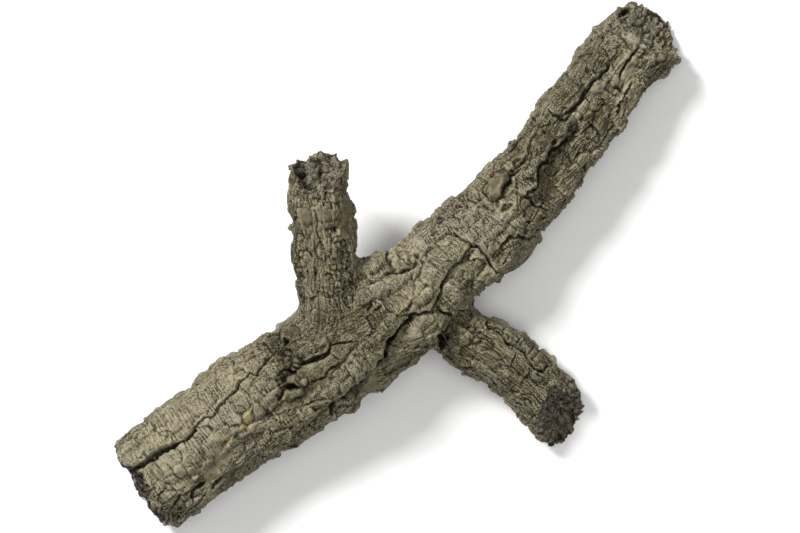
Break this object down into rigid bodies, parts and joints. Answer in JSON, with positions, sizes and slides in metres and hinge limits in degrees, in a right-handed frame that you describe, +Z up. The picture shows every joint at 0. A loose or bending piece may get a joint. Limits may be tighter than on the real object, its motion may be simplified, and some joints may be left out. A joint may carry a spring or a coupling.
{
  "type": "cork branch",
  "caption": "Natural cork oak branch lying on its side: thick furrowed trunk with a short upright stub, a side stub and a bent upper limb.",
  "frame": {"origin": "on the surface that the branch lies on, under the middle of its bounding box", "axes": "+Z up from the surface, +X and +Y across it; the trunk runs from -X -Y to +X +Y, and the upright stub points along +Y"},
  "size_m": [0.4262, 0.3977, 0.1024],
  "materials": {
    "cork_bark": "rough, matt, deeply furrowed grey-brown cork bark"
  },
  "bodies": {
    "root": {"lower_trunk": "cork_bark", "upper_limb": "cork_bark", "upright_stub": "cork_bark", "side_stub": "cork_bark"}
  },
  "joints": []
}
